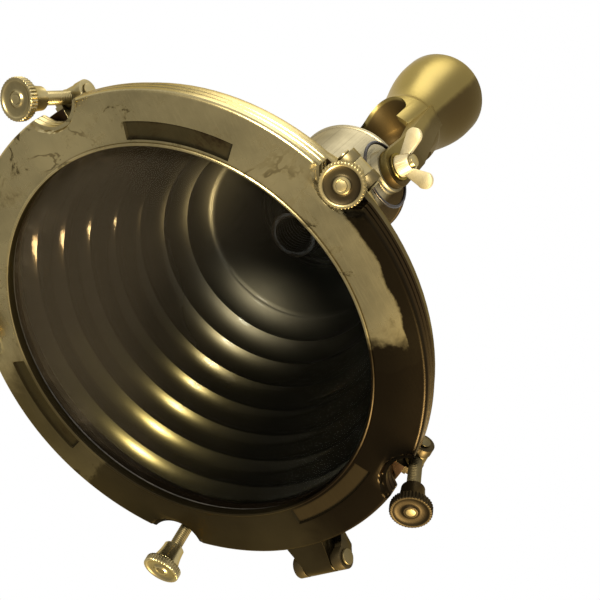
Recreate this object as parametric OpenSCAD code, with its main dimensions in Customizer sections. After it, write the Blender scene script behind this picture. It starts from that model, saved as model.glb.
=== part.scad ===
// Ship cargo light: a hanging floodlight with a ribbed shade, a hinged glass bezel and a tilting hanger.
// Millimetres. +Z runs from the glass to the hanger, and the origin is the centre of the hanging eye.

/* [Bezel] */
// Radius of the clear opening in the bezel
opening_r = 131; // [115:1:150]
// Radial width of the bezel ring
bezel_w = 34; // [31:0.5:40]
// Depth of the bezel from its outer front edge to its back
bezel_depth = 14; // [13:0.5:18]
// Height by which the front face rises towards the opening
bezel_crown = 3; // [1:0.5:4]
// Rounding of the outer front edge
bezel_round = 2.5; // [1:0.5:4]
// Height of the bead round the opening
bead_h = 1.2; // [0.6:0.2:2]
// Thickness of the lip that holds the glass
lip_t = 5; // [4:0.5:6]
// Number of sunken panels in the front face
panel_count = 3; // [2:1:5]
// Length of a panel along the ring, in degrees
panel_span = 27; // [16:1:36]
// Radial width of a panel
panel_w = 11; // [6:0.5:13]
// Depth of a panel
panel_depth = 1.6; // [0.8:0.2:2]
// Radius of the scallop that lets a thumb nut pass the rim
scallop_r = 20; // [19:0.5:22]

/* [Glass] */
// How far the lip covers the edge of the glass
glass_overlap = 8; // [5:0.5:8.5]
// Thickness of the glass
glass_t = 6; // [4:0.5:6.5]
// Thickness of the gasket under the glass
glass_seal_t = 2; // [1.5:0.5:2.5]
// Thickness of the retainer ring
retainer_t = 2; // [1.5:0.5:2.5]
// Number of retainer screws
retainer_screws_n = 8; // [6:1:12]

/* [Body flange] */
// How much smaller the flange is than the bezel
flange_step = 3; // [2:0.5:4]
// Thickness of the flange
flange_t = 5.7; // [5:0.1:8]
// Thickness of the gasket between bezel and flange
seal_t = 3; // [2:0.5:4]
// Width of that gasket
seal_w = 6; // [4:0.5:6]

/* [Shade] */
// How much wider the shade's mouth is than the clear opening
mouth_step = 7; // [5:0.5:9]
// Inner radius where the ribs end
seam_r = 71; // [64:1:76]
// Height of the ribbed part
ribbed_h = 146; // [130:1:160]
// Height of one rib
rib_pitch = 19.5; // [17:0.5:24]
// Depth of a rib
rib_depth = 3; // [2:0.25:4]
// Height of the smooth crown above the ribs
crown_h = 47; // [40:1:60]
// Wall of the shade
shade_wall = 1.5; // [1:0.1:2.5]
// Width of the lip behind the flange
shade_lip_w = 10.5; // [10:0.5:11]
// Number of screws through that lip
shade_screws_n = 10; // [6:1:16]

/* [Neck] */
// Outer radius of the neck housing
neck_r = 46; // [44:0.5:50]
// Wall of the neck housing
neck_wall = 2.5; // [2:0.25:4]
// Height of the neck housing
neck_h = 68.5; // [66:0.5:90]
// Radius of the rolled lip's round
neck_roll = 2.2; // [1.5:0.1:3]
// Height of the shade's collar on the neck
collar_h = 9; // [6:0.5:10]
// Thickness of the lid's rim
lid_t = 3; // [2:0.5:5]

/* [Pivot] */
// Height of the pivot above the neck's lower end
pivot_up = 45; // [42:0.5:46]
// Radius of the pivot bosses
boss_r = 17.5; // [15:0.5:18]
// How far a boss stands out of the neck
boss_out = 4.5; // [4:0.25:8]
// Radius of the pivot bolts
pivot_bolt_r = 5; // [4:0.5:6]
// Thickness of the yoke's legs
leg_t = 6.5; // [5:0.5:8]
// Half width of a leg at the pivot
leg_w = 15.5; // [13:0.5:18]
// Half width of a leg at the hood
leg_top_w = 10; // [8:0.5:13]
// Straight length of a leg above the pivot
leg_straight = 38; // [32:1:44]
// Thickness of the washers
washer_t = 1.6; // [1:0.2:3]
// Length of a wing nut's hub
wing_hub_h = 11; // [9:0.5:14]
// Sideways reach of a wing
wing_reach = 18; // [15:0.5:20]
// Turn of the wings at rest, in degrees
wing_turn = 28; // [0:1:90]

/* [Yoke] */
// Radius of the hood above the gland
hood_r = 32.5; // [32:0.5:36]
// Wall of the hood
hood_wall = 8; // [6:0.5:9]
// Height of the hood's lower edge above the pivot
hood_up = 100; // [98:1:106]
// Height of the top of the windows above the pivot
window_up = 144; // [138:1:148]
// Half width of the windows
window_w = 24; // [20:0.5:25]
// Radius of the waist
waist_r = 31; // [29:0.5:32]
// Height of the waist above the pivot
waist_up = 153; // [150:1:160]
// Radius of the bell
bell_r = 41.5; // [38:0.5:46]
// Height from the waist to the rim of the bell
flare_h = 77; // [65:1:90]
// Height of the rim of the bell
bell_rim_h = 10; // [6:0.5:14]
// Height of the dome above the rim
dome_h = 16; // [12:0.5:24]

/* [Hanging eye] */
// Radius of the hole
eye_bore_r = 8; // [6:0.5:10]
// Wall round the hole
eye_wall = 7; // [5:0.5:9]
// Thickness of the eye
eye_t = 14; // [10:0.5:18]
// Radius of the eye's foot
eye_foot_r = 17; // [15:0.5:20]
// Thickness of the eye's foot
eye_foot_t = 5; // [3:0.5:7]
// Metal between the foot and the hole
eye_web = 3; // [2:0.5:6]

/* [Swing bolts] */
// How far the pivots lie outside the flange
bolt_pivot_out = 2; // [1:0.5:4]
// Height of the pivots above the front of the flange
bolt_pivot_up = 10; // [10:0.1:12]
// Radius of the shank
bolt_r = 4.5; // [3.5:0.25:4.75]
// Radius of the eye
bolt_eye_r = 7; // [6:0.25:7.5]
// Width of the eye
bolt_eye_w = 9.8; // [9:0.2:11]
// Radius of the pivot pins
bolt_pin_r = 3; // [2.5:0.25:3.5]
// Thickness of an ear
ear_t = 6.3; // [5:0.1:8]
// Distance from the pivot to the face of the thumb nut
nut_reach = 52; // [48:0.5:58]
// Lean of the bolts out of the way of the bezel, in degrees
rest_lean = 18; // [17:1:30]

/* [Thumb nuts] */
// Radius of the head
nut_r = 13.4; // [12:0.1:13.6]
// Thickness of the knurled head
nut_t = 6; // [4:0.5:8]
// Radius of the trunk at its far end
nut_trunk_r = 7.5; // [7:0.25:9]
// Length of the trunk
nut_trunk_h = 15; // [10:0.5:16]
// Depth of the dish in the face
nut_dish = 1.2; // [0.4:0.1:1.6]
// Number of knurls
knurl_count = 40; // [24:1:48]
// Depth of the knurls
knurl_depth = 0.6; // [0.3:0.1:1]

/* [Hinge] */
// How far the hinge axis lies outside the bezel
hinge_out = 18; // [17:0.5:22]
// Height of the hinge axis above the bezel's front
hinge_up = 9; // [8:0.5:10]
// Radius of the knuckles
knuckle_r = 8; // [7:0.25:8]
// Radius of the hinge pin
hinge_pin_r = 4; // [3:0.25:5]
// Half width of the bezel's tab at the pin
tab_w = 12; // [9:0.5:14]
// Thickness of the flange's cheeks
cheek_t = 7.5; // [6:0.5:10]

/* [Gland] */
// Radius of the cable hole
cable_r = 6.5; // [5:0.25:8]
// Radius of the gland's stem
stem_r = 12.5; // [12:0.25:14]
// Height of the gland's hexagon
hex_h = 9; // [6:0.5:12]
// Height of the stem above the hexagon
stem_h = 28; // [20:0.5:30]
// Height of the gland nut
gland_nut_h = 29; // [24:0.5:32]

/* [Lamp holder] */
// Radius of the screw shell's inside
shell_r = 13.4; // [13:0.1:14]
// Outer radius of the holder
holder_r = 21; // [19:0.5:24]
// Length of the holder
holder_h = 48; // [44:0.5:60]
// Depth of the holder's socket
socket_depth = 36; // [30:0.5:38]
// Thickness of the holder's plate
plate_t = 3; // [2:0.5:4]

/* [Wire ring] */
// Radius of the ring's centre line
ring_r = 26; // [24:0.5:26]
// Radius of the wire
wire_r = 1.3; // [0.8:0.1:1.4]

/* [Hidden] */
$fn = 96;
// Running gap between bodies, clearance of a turning fit and of a fixed fit
gap = 0.3;
run_fit = 0.08;
fit = 0.05;
// Overlap that makes a cut pass cleanly through
cut = 1;
bolt_count = 5;
ARC_STEPS = 6;
RIB_STEPS = 8;

// Radii of the bezel, from the opening outwards
bezel_r = opening_r + bezel_w;
mouth_r = opening_r + mouth_step;
glass_r = opening_r + glass_overlap;
pocket_r = glass_r + 0.4;
ledge_w = 7.6;
ledge_r = pocket_r + ledge_w;
seal_in_r = ledge_r + 0.5;
flange_r = bezel_r - flange_step;
bolt_pivot_r = flange_r + bolt_pivot_out;
scallop_floor_r = seal_in_r + seal_w + 0.5;
scallop_at = scallop_floor_r + scallop_r;
retainer_screw_at = pocket_r + ledge_w/2;
retainer_turn = 30;
shade_lip_r = mouth_r + rib_depth + shade_lip_w;
shade_turn = 18;
spot_w = 3;
spot_depth = 2;

// Heights above the plane of the bezel's outer front edge
lip_back = lip_t - bezel_crown;
glass_front = lip_back + glass_seal_t;
glass_back = glass_front + glass_t;
retainer_back = glass_back + retainer_t;
flange_front = bezel_depth + gap + seal_t;
flange_back = flange_front + flange_t;
seam_z = flange_back + ribbed_h;
shade_top = seam_z + crown_h;
neck_bottom = shade_top - collar_h;
pivot_z = neck_bottom + pivot_up;
roll_z = neck_bottom + neck_h;
lid_z = roll_z + neck_roll;
lid_top = lid_z + lid_t;
hex_top = lid_top + hex_h;
stem_top = hex_top + stem_h;
nut_grip = 7;
gland_nut_z = stem_top - nut_grip;
waist_z = pivot_z + waist_up;
rim_z = waist_z + flare_h;
dome_z = rim_z + bell_rim_h;
dome_top = dome_z + dome_h;
eye_z = dome_top + eye_foot_t + eye_web + eye_bore_r;
hinge_y = bezel_r + hinge_out;
bolt_pivot_z = flange_front + bolt_pivot_up;

// Neck, pivot and holder
neck_in_r = neck_r - neck_wall;
boss_x = neck_r + boss_out;
leg_x = boss_x + gap;
leg_out_x = leg_x + leg_t;
washer_x = leg_out_x + gap;
wing_x = washer_x + washer_t + 0.2;
pivot_bolt_end = wing_x + wing_hub_h + 3;
plate_z = neck_bottom + 7;
holder_mouth = plate_z - holder_h;
socket_end = holder_mouth + socket_depth;
shell_wall = 0.6;
screw_r = 2;
screw_head_r = 3.6;
screw_head_h = 2.4;
shade_screw_at = shade_lip_r - screw_head_r - 0.8;
lug_r = 5;
lug_at = neck_in_r - lug_r;
lug_turn = 60;
lid_screw_grip = 8;
washer_w = 6;
lug_top = lid_z - 6;
holder_screw_at = 13;

CAST = "#b39a5e";
SPUN = "#8f7a45";
BRIGHT = "#c9a94f";
PALE = "#bfb084";
RUBBER = "#2a2725";
CERAMIC = "#4a3a2e";
STEEL = "#8b8b88";

// Points along an arc in a profile
function arc(cx, cz, r, a0, a1) =
  [for (i = [0:ARC_STEPS]) let (a = a0 + (a1 - a0)*i/ARC_STEPS) [cx + r*cos(a), cz + r*sin(a)]];
// Half a cosine wave from v0 to v1
function ease(v0, v1, t) = v0 + (v1 - v0)*(1 - cos(180*t))/2;
function bolt_angle(i) = 90 + 360/bolt_count*(i - 1);

// Everything is drawn from the bezel's front plane, and moved so that the hanging eye is the origin
module lamp() { translate([0, 0, -eye_z]) children(); }
module around(n, r, start = 0) {
  for (i = [0:n - 1]) rotate([0, 0, start + 360*i/n]) translate([r, 0, 0]) children();
}
module both_sides() {
  children();
  rotate([0, 0, 180]) children();
}
module at_bolt(i) {
  rotate([0, 0, bolt_angle(i)]) translate([bolt_pivot_r, 0, bolt_pivot_z]) children();
}
module along_bolt(i) { at_bolt(i) rotate([0, -rest_lean, 0]) children(); }
// A bar along X, from x0 to x1
module bar_x(x0, x1, r) { translate([x0, 0, 0]) rotate([0, 90, 0]) cylinder(h = x1 - x0, r = r); }
// A bar along Y, centred
module bar_y(l, r) { rotate([90, 0, 0]) cylinder(h = l, r = r, center = true); }
// A profile in the XZ plane, made l wide along Y
module slab_y(l) { rotate([90, 0, 0]) linear_extrude(l, center = true) children(); }
// A profile in the YZ plane, made l long along X
module slab_x(l) { rotate([90, 0, 90]) linear_extrude(l, center = true) children(); }
// A round-headed screw whose head sits on z = 0 and whose shank hangs below
module screw(shank_h) {
  translate([0, 0, -shank_h]) cylinder(h = shank_h, r = screw_r);
  rotate_extrude() polygon(concat([[0, 0], [screw_head_r, 0], [screw_head_r, screw_head_h/2]],
    [[screw_head_r*0.6, screw_head_h], [0, screw_head_h]]));
}

// Hanger

function hood_profile() = concat(
  [[0, pivot_z + hood_up], [hood_r, pivot_z + hood_up], [hood_r, pivot_z + window_up]],
  [for (i = [1:ARC_STEPS]) let (t = i/ARC_STEPS)
    [ease(hood_r, waist_r, t), pivot_z + window_up + (waist_up - window_up)*t]],
  [for (i = [1:2*ARC_STEPS]) let (t = i/(2*ARC_STEPS)) [ease(waist_r, bell_r, t), waist_z + flare_h*t]],
  [for (i = [0:ARC_STEPS]) let (a = 90*i/ARC_STEPS) [bell_r*cos(a), dome_z + dome_h*sin(a)]]);

module window_outline() {
  arch_z = pivot_z + window_up - window_w;
  translate([0, arch_z]) circle(r = window_w);
  translate([-window_w, pivot_z]) square([2*window_w, arch_z - pivot_z]);
}

// A leg splays from the hood to the pivot and narrows upwards
module leg() {
  bend_z = pivot_z + leg_straight;
  join_z = pivot_z + window_up;
  intersection() {
    slab_y(2*leg_w) polygon([[leg_x, pivot_z], [leg_out_x, pivot_z], [leg_out_x, bend_z + 4],
      [hood_r + 3, join_z - 12], [hood_r, join_z + 8], [hood_r - 4, join_z + 8],
      [hood_r - 6, pivot_z + hood_up + 10], [leg_x, bend_z]]);
    slab_x(4*leg_out_x) polygon([[-leg_w, pivot_z], [leg_w, pivot_z],
      [leg_top_w, join_z], [leg_top_w, join_z + leg_w], [-leg_top_w, join_z + leg_w], [-leg_top_w, join_z]]);
  }
  translate([0, 0, pivot_z]) bar_x(leg_x, leg_out_x, leg_w);
}

module yoke() {
  stem_hole_h = dome_h;
  color(BRIGHT) lamp() difference() {
    union() {
      difference() {
        rotate_extrude() polygon(hood_profile());
        translate([0, 0, pivot_z]) cylinder(h = window_up - window_w, r = hood_r - hood_wall);
        translate([0, 0, pivot_z + window_up - window_w]) sphere(r = hood_r - hood_wall);
        slab_y(4*hood_r) window_outline();
      }
      both_sides() leg();
    }
    translate([0, 0, pivot_z]) bar_x(-2*leg_out_x, 2*leg_out_x, pivot_bolt_r + run_fit);
    translate([0, 0, dome_top - stem_hole_h]) cylinder(h = stem_hole_h + cut, r = eye_bore_r + fit);
  }
}

module hanging_eye() {
  stem_h = dome_h - 2;
  eye_r = eye_bore_r + eye_wall;
  color(PALE) lamp() difference() {
    union() {
      translate([0, 0, dome_top - stem_h]) cylinder(h = stem_h, r = eye_bore_r);
      translate([0, 0, dome_top]) cylinder(h = eye_foot_t, r1 = eye_foot_r, r2 = eye_foot_r - 1.5);
      translate([0, 0, eye_z]) bar_x(-eye_t/2, eye_t/2, eye_r);
      slab_x(eye_t) polygon([[-eye_r, dome_top + eye_foot_t/2], [eye_r, dome_top + eye_foot_t/2],
        [eye_r, eye_z], [-eye_r, eye_z]]);
    }
    translate([0, 0, eye_z]) bar_x(-eye_t, eye_t, eye_bore_r);
  }
}

// Neck and gland

module neck_housing() {
  ledge_h = 3;
  ledge_in = 2.5;
  lug_h = 10;
  color(PALE) lamp() difference() {
    union() {
      difference() {
        union() {
          translate([0, 0, neck_bottom]) cylinder(h = neck_h, r = neck_r);
          translate([0, 0, pivot_z]) bar_x(-boss_x, boss_x, boss_r);
        }
        translate([0, 0, neck_bottom - cut]) cylinder(h = neck_h + 2*cut, r = neck_in_r);
      }
      translate([0, 0, roll_z]) rotate_extrude() translate([neck_r - neck_roll/4, 0]) circle(r = neck_roll);
      translate([0, 0, plate_z - ledge_h]) difference() {
        cylinder(h = ledge_h, r = neck_in_r + neck_wall/2);
        translate([0, 0, -cut]) cylinder(h = ledge_h + 2*cut, r = neck_in_r - ledge_in);
      }
      intersection() {
        translate([0, 0, lug_top - lug_h]) around(3, lug_at, lug_turn) {
          cylinder(h = lug_h, r = lug_r);
          translate([0, -lug_r, 0]) cube([2*lug_r, 2*lug_r, lug_h]);
        }
        translate([0, 0, neck_bottom]) cylinder(h = neck_h, r = neck_in_r + neck_wall/2);
      }
    }
    translate([0, 0, pivot_z]) bar_x(-2*boss_x, 2*boss_x, pivot_bolt_r + fit);
    translate([0, 0, lug_top - lug_h - cut]) around(3, lug_at, lug_turn)
      cylinder(h = lug_h + 2*cut, r = screw_r + fit);
  }
}

module neck_lid() {
  rim_r = neck_r - 1.5;
  spigot_r = neck_in_r - 0.5;
  pan_r = lug_at - lug_r - 1;
  color(PALE) lamp() difference() {
    union() {
      translate([0, 0, lid_z]) cylinder(h = lid_t, r = rim_r);
      translate([0, 0, lug_top]) cylinder(h = lid_z - lug_top + cut/2, r = spigot_r);
    }
    translate([0, 0, lug_top - cut]) cylinder(h = lid_z - lug_top + cut/2, r = pan_r);
    translate([0, 0, lug_top - cut]) cylinder(h = lid_top, r = stem_r - 2.5 + fit);
    translate([0, 0, lug_top - cut]) around(3, lug_at, lug_turn) cylinder(h = lid_top, r = screw_r + fit);
  }
}

module lid_screws() {
  color(STEEL) lamp() translate([0, 0, lid_top]) around(3, lug_at, lug_turn)
    screw(lid_top - lug_top + lid_screw_grip);
}

module gland_body() {
  spigot_h = lid_top - lug_top + 2;
  color(BRIGHT) lamp() difference() {
    union() {
      translate([0, 0, lid_top - spigot_h]) cylinder(h = spigot_h, r = stem_r - 2.5);
      translate([0, 0, lid_top]) cylinder(h = hex_h, r = stem_r + 5, $fn = 6);
      translate([0, 0, hex_top]) cylinder(h = stem_h, r = stem_r);
    }
    translate([0, 0, lid_top - spigot_h - cut])
      cylinder(h = spigot_h + hex_h + stem_h + 2*cut, r = cable_r);
  }
}

seal_h = 5;
seal_r = stem_r - 1.5;
module gland_seal() {
  color(RUBBER) lamp() translate([0, 0, stem_top + fit]) difference() {
    cylinder(h = seal_h, r = seal_r - fit);
    translate([0, 0, -cut]) cylinder(h = seal_h + 2*cut, r = cable_r);
  }
}

module gland_nut() {
  wide_r = stem_r + 2.5;
  top_r = cable_r + 3;
  color(BRIGHT) lamp() difference() {
    translate([0, 0, gland_nut_z]) rotate_extrude() polygon([[0, 0], [wide_r - 1, 0], [wide_r, 1],
      [wide_r, nut_grip + seal_h], [top_r + 1.5, gland_nut_h - 4], [top_r, gland_nut_h], [0, gland_nut_h]]);
    translate([0, 0, gland_nut_z - cut]) cylinder(h = nut_grip + cut, r = stem_r + fit);
    translate([0, 0, stem_top - cut]) cylinder(h = seal_h + 2*fit + cut, r = seal_r);
    translate([0, 0, stem_top]) cylinder(h = gland_nut_h, r = cable_r);
  }
}

// Pivot

module pivot_bolts() {
  head_r = pivot_bolt_r + 4;
  head_t = 3.4;
  head_x = sqrt(neck_in_r*neck_in_r - head_r*head_r) - 0.1;
  color(STEEL) lamp() translate([0, 0, pivot_z]) both_sides() {
    bar_x(head_x - head_t, head_x, head_r);
    bar_x(head_x - head_t, pivot_bolt_end, pivot_bolt_r);
  }
}

module pivot_washers() {
  color(PALE) lamp() translate([0, 0, pivot_z]) both_sides() difference() {
    bar_x(washer_x, washer_x + washer_t, pivot_bolt_r + washer_w);
    bar_x(washer_x - cut, washer_x + washer_t + cut, pivot_bolt_r + fit);
  }
}

// A wing nut on +X: a tapered hub and two raised wings with round tips
module wing_nut(turn) {
  hub_r = pivot_bolt_r + 4;
  wing_t = 3.4;
  tip_r = 6.5;
  tip_up = wing_hub_h + 7;
  lamp() translate([wing_x, 0, pivot_z]) rotate([turn, 0, 0]) difference() {
    union() {
      rotate([0, 90, 0]) cylinder(h = wing_hub_h, r1 = hub_r, r2 = hub_r - 2);
      for (side = [-1, 1]) linear_extrude(wing_t, center = true) {
        translate([tip_up, side*wing_reach]) circle(r = tip_r);
        polygon([[1, side*(hub_r - 3)], [3, side*(hub_r - 0.5)],
          [tip_up - tip_r*0.6, side*(wing_reach + tip_r*0.8)],
          [tip_up + tip_r*0.6, side*(wing_reach - tip_r*0.8)], [wing_hub_h - 1, side*(hub_r - 4)]]);
      }
    }
    bar_x(-cut, 3*wing_hub_h, pivot_bolt_r + run_fit);
  }
}
module wing_nut_left() { color(BRIGHT) rotate([0, 0, 180]) wing_nut(-wing_turn); }
module wing_nut_right() { color(BRIGHT) wing_nut(wing_turn); }

module wire_ring() {
  ring_x = -(neck_r + boss_out/2 + 0.2);
  ring_z = pivot_z - (ring_r - wire_r - boss_r - gap);
  color(STEEL) lamp() translate([ring_x, 0, ring_z]) rotate([0, 90, 0])
    rotate_extrude() translate([ring_r, 0]) circle(r = wire_r);
}

// Lamp holder

module holder_plate() {
  color(PALE) lamp() translate([0, 0, plate_z]) difference() {
    cylinder(h = plate_t, r = neck_in_r - 0.2);
    translate([0, 0, -cut]) {
      around(2, holder_screw_at) cylinder(h = plate_t + 2*cut, r = screw_r + fit);
      around(4, holder_r + 10, 45) cylinder(h = plate_t + 2*cut, r = 6);
    }
  }
}

module holder_body() {
  skirt_h = 16;
  color(CERAMIC) lamp() difference() {
    translate([0, 0, holder_mouth]) rotate_extrude() polygon(concat(
      [[0, 0], [holder_r - 4, 0]],
      arc(holder_r - 4, 2, 2, -90, 0),
      [[holder_r - 2, skirt_h], [holder_r, skirt_h + 2], [holder_r, holder_h], [0, holder_h]]));
    translate([0, 0, holder_mouth - cut]) cylinder(h = socket_depth + cut, r = shell_r + shell_wall + fit);
    translate([0, 0, socket_end - cut]) cylinder(h = 8 + cut, r = 2.5 + fit);
    translate([0, 0, plate_z - 7]) around(2, holder_screw_at) cylinder(h = 7 + cut, r = screw_r + fit);
  }
}

module holder_shell() {
  shell_h = socket_depth - 4;
  color(BRIGHT) lamp() translate([0, 0, holder_mouth + 1]) difference() {
    cylinder(h = shell_h, r = shell_r + shell_wall);
    translate([0, 0, -cut]) cylinder(h = shell_h + 2*cut, r = shell_r);
  }
}

module holder_contact() {
  color(BRIGHT) lamp() {
    translate([0, 0, socket_end - 2.5]) cylinder(h = 2.5, r1 = 4, r2 = 5);
    translate([0, 0, socket_end - 0.5]) cylinder(h = 8, r = 2.5);
  }
}

module holder_screws() {
  color(STEEL) lamp() translate([0, 0, plate_z + plate_t]) around(2, holder_screw_at) screw(plate_t + 6);
}

module terminal_blocks() {
  color(BRIGHT) lamp() translate([0, 0, plate_z + plate_t]) around(2, holder_screw_at, 90) difference() {
    translate([-4, -6, 0]) cube([8, 12, 9]);
    translate([0, 0, 4.5]) bar_y(20, 2);
    translate([0, 0, 5]) cylinder(h = 10, r = 1.6);
  }
}

// Shade and flange

// The ribs are round flutes that bulge outwards and meet in ridges towards the axis
function ridge_r(z) = mouth_r - (mouth_r - seam_r)*(z - flange_back)/ribbed_h;
flute_r = (rib_pitch*rib_pitch/4 + rib_depth*rib_depth)/(2*rib_depth);
function from_middle(z) = let (t = (seam_z - z)/rib_pitch) rib_pitch*(t - floor(t) - 0.5);
function rib_r(z) = ridge_r(z) + sqrt(pow(flute_r, 2) - pow(from_middle(z), 2)) - flute_r + rib_depth;
rib_rows = floor(ribbed_h*RIB_STEPS/rib_pitch - 0.5);
rib_points = concat([[rib_r(flange_back), flange_back]],
  [for (i = [rib_rows:-1:0]) let (z = seam_z - rib_pitch*i/RIB_STEPS) [rib_r(z), z]]);
collar_in_r = neck_r + fit;
seam_step = 1.5;
crown_points = [for (i = [0:ARC_STEPS]) let (t = i/ARC_STEPS)
  [collar_in_r + (seam_r - seam_step - collar_in_r)*(1 - sin(90*t)*0.4 - 0.6*t),
   seam_z + 0.6 + (crown_h - collar_h - 0.6)*t]];
inner_points = concat(rib_points, crown_points);

module shade() {
  n = len(inner_points);
  color(SPUN) lamp() difference() {
    rotate_extrude() polygon(concat(
      [[shade_lip_r, flange_back]], inner_points,
      [[collar_in_r, shade_top], [collar_in_r + shade_wall, shade_top]],
      [for (i = [n - 1:-1:1]) [inner_points[i][0] + shade_wall, inner_points[i][1]]],
      [[rib_r(flange_back) + shade_wall, flange_back + shade_wall],
       [shade_lip_r, flange_back + shade_wall]]));
    translate([0, 0, flange_back - cut]) around(shade_screws_n, shade_screw_at, shade_turn)
      cylinder(h = shade_wall + 2*cut, r = screw_r + fit);
  }
}

module shade_screws() {
  color(STEEL) lamp() translate([0, 0, flange_back + shade_wall])
    around(shade_screws_n, shade_screw_at, shade_turn) screw(shade_wall + flange_t - 1);
}

ear_gap = bolt_eye_w/2 + gap;
// How far the roots of ears and cheeks lie inside the flange's faces
root_inset = 1;
ear_r = bolt_eye_r + 0.5;
ear_root = 12;
module ear() {
  root_r = bolt_pivot_r - ear_root;
  difference() {
    union() {
      slab_y(ear_t) polygon([[root_r, flange_front + root_inset], [bolt_pivot_r, flange_front + root_inset],
        [bolt_pivot_r, bolt_pivot_z], [bolt_pivot_r - ear_r*0.6, bolt_pivot_z + ear_r*0.6],
        [root_r, flange_back - root_inset]]);
      translate([bolt_pivot_r, 0, bolt_pivot_z]) bar_y(ear_t, ear_r);
    }
    translate([bolt_pivot_r, 0, bolt_pivot_z]) bar_y(2*ear_t, bolt_pin_r + fit);
  }
}

cheek_x = tab_w + gap;
module cheek() {
  root_y = -(flange_r - 8);
  slab_x(cheek_t) difference() {
    union() {
      translate([-hinge_y, hinge_up]) circle(r = knuckle_r);
      polygon([[root_y, flange_front + root_inset], [root_y, flange_back - root_inset],
        [-hinge_y + 2, flange_back - 2*root_inset], [-hinge_y - knuckle_r*0.8, hinge_up + knuckle_r*0.4],
        [-hinge_y, hinge_up], [-hinge_y + knuckle_r*0.8, hinge_up],
        [-(bezel_r + 2.5), flange_front + root_inset]]);
    }
    translate([-hinge_y, hinge_up]) circle(r = hinge_pin_r + fit);
  }
}

module body_flange() {
  notch_r = bolt_pivot_r - bolt_eye_r - 1.5;
  color(CAST) lamp() {
    difference() {
      union() {
        translate([0, 0, flange_front]) cylinder(h = flange_t, r = flange_r);
        for (i = [1:bolt_count], side = [-1, 1])
          rotate([0, 0, bolt_angle(i)]) translate([0, side*(ear_gap + ear_t/2), 0]) ear();
        for (side = [-1, 1]) translate([side*(cheek_x + cheek_t/2), 0, 0]) cheek();
      }
      translate([0, 0, flange_front - cut]) cylinder(h = flange_t + 2*cut, r = rib_r(flange_back));
      for (i = [1:bolt_count]) rotate([0, 0, bolt_angle(i)])
        translate([notch_r, -ear_gap, flange_front - cut])
          cube([bolt_pivot_r, 2*ear_gap, flange_t + 2*cut]);
      translate([0, 0, flange_back - flange_t + 1]) around(shade_screws_n, shade_screw_at, shade_turn)
        cylinder(h = flange_t, r = screw_r + fit);
    }
  }
}

module bezel_gasket() {
  color(RUBBER) lamp() translate([0, 0, flange_front - seal_t]) difference() {
    cylinder(h = seal_t, r = seal_in_r + seal_w);
    translate([0, 0, -cut]) cylinder(h = seal_t + 2*cut, r = seal_in_r);
  }
}

module bolt_pins() {
  head_at = ear_gap + ear_t + 0.2;
  color(PALE) lamp() for (i = [1:bolt_count]) at_bolt(i) {
    bar_y(2*head_at, bolt_pin_r);
    for (side = [-1, 1]) translate([0, side*(head_at + 0.75), 0]) bar_y(1.5, bolt_pin_r + 1.2);
  }
}

module hinge_pin() {
  head_at = cheek_x + cheek_t + 0.2;
  color(PALE) lamp() translate([0, -hinge_y, hinge_up]) {
    bar_x(-head_at, head_at, hinge_pin_r);
    both_sides() bar_x(head_at, head_at + 2, hinge_pin_r + 1.5);
  }
}

// Bezel

function face_z(r) = -bezel_crown*(bezel_r - bezel_round - r)/(bezel_r - bezel_round - opening_r);
bead_w = 2.4;
function bezel_profile() = concat(
  [[opening_r, lip_back], [opening_r, face_z(opening_r) - bead_h + 1]],
  [[opening_r + 0.6, face_z(opening_r) - bead_h], [opening_r + bead_w - 0.6, face_z(opening_r) - bead_h]],
  [[opening_r + bead_w, face_z(opening_r + bead_w)]],
  arc(bezel_r - bezel_round, bezel_round, bezel_round, -90, 0),
  [[bezel_r, bezel_depth], [ledge_r, bezel_depth], [ledge_r, glass_back], [pocket_r, glass_back],
   [pocket_r, lip_back]]);

module tab() {
  root_y = -(bezel_r - 6);
  difference() {
    intersection() {
      slab_x(4*tab_w) union() {
        translate([-hinge_y, hinge_up]) circle(r = knuckle_r);
        polygon([[root_y, 1.5], [root_y, bezel_depth - 0.5], [-hinge_y, hinge_up + knuckle_r],
          [-hinge_y, hinge_up - knuckle_r]]);
      }
      linear_extrude(4*knuckle_r, center = true) polygon([[-tab_w, -(hinge_y + knuckle_r)],
        [tab_w, -(hinge_y + knuckle_r)], [tab_w, -(bezel_r + 4)], [1.4*tab_w, root_y],
        [-1.4*tab_w, root_y], [-tab_w, -(bezel_r + 4)]]);
    }
    translate([0, -hinge_y, hinge_up]) bar_x(-2*tab_w, 2*tab_w, hinge_pin_r + run_fit);
  }
}

module bezel_ring() {
  panel_in_r = opening_r + bead_w + 1.6;
  panel_start = 123;
  color(CAST) lamp() {
    difference() {
      union() {
        rotate_extrude() polygon(bezel_profile());
        tab();
      }
      for (i = [1:bolt_count]) rotate([0, 0, bolt_angle(i)]) translate([scallop_at, 0, 0]) {
        cylinder(h = 4*bezel_depth, r = scallop_r, center = true);
        translate([0, 0, -bezel_depth]) cylinder(h = bezel_depth + spot_depth, r = scallop_r + spot_w);
      }
      for (i = [0:panel_count - 1])
        rotate([0, 0, panel_start + 360*i/panel_count - panel_span/2])
          rotate_extrude(angle = panel_span)
            polygon([[panel_in_r, -3*bezel_crown], [panel_in_r, face_z(panel_in_r) + panel_depth],
              [panel_in_r + panel_w, face_z(panel_in_r + panel_w) + panel_depth],
              [panel_in_r + panel_w, -3*bezel_crown]]);
      translate([0, 0, glass_back - 3]) around(retainer_screws_n, retainer_screw_at, retainer_turn)
        cylinder(h = 3 + cut, r = screw_r + fit);
    }
  }
}

module glass_gasket() {
  color(RUBBER) lamp() translate([0, 0, lip_back]) difference() {
    cylinder(h = glass_seal_t, r = glass_r);
    translate([0, 0, -cut]) cylinder(h = glass_seal_t + 2*cut, r = opening_r + 1);
  }
}

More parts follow.
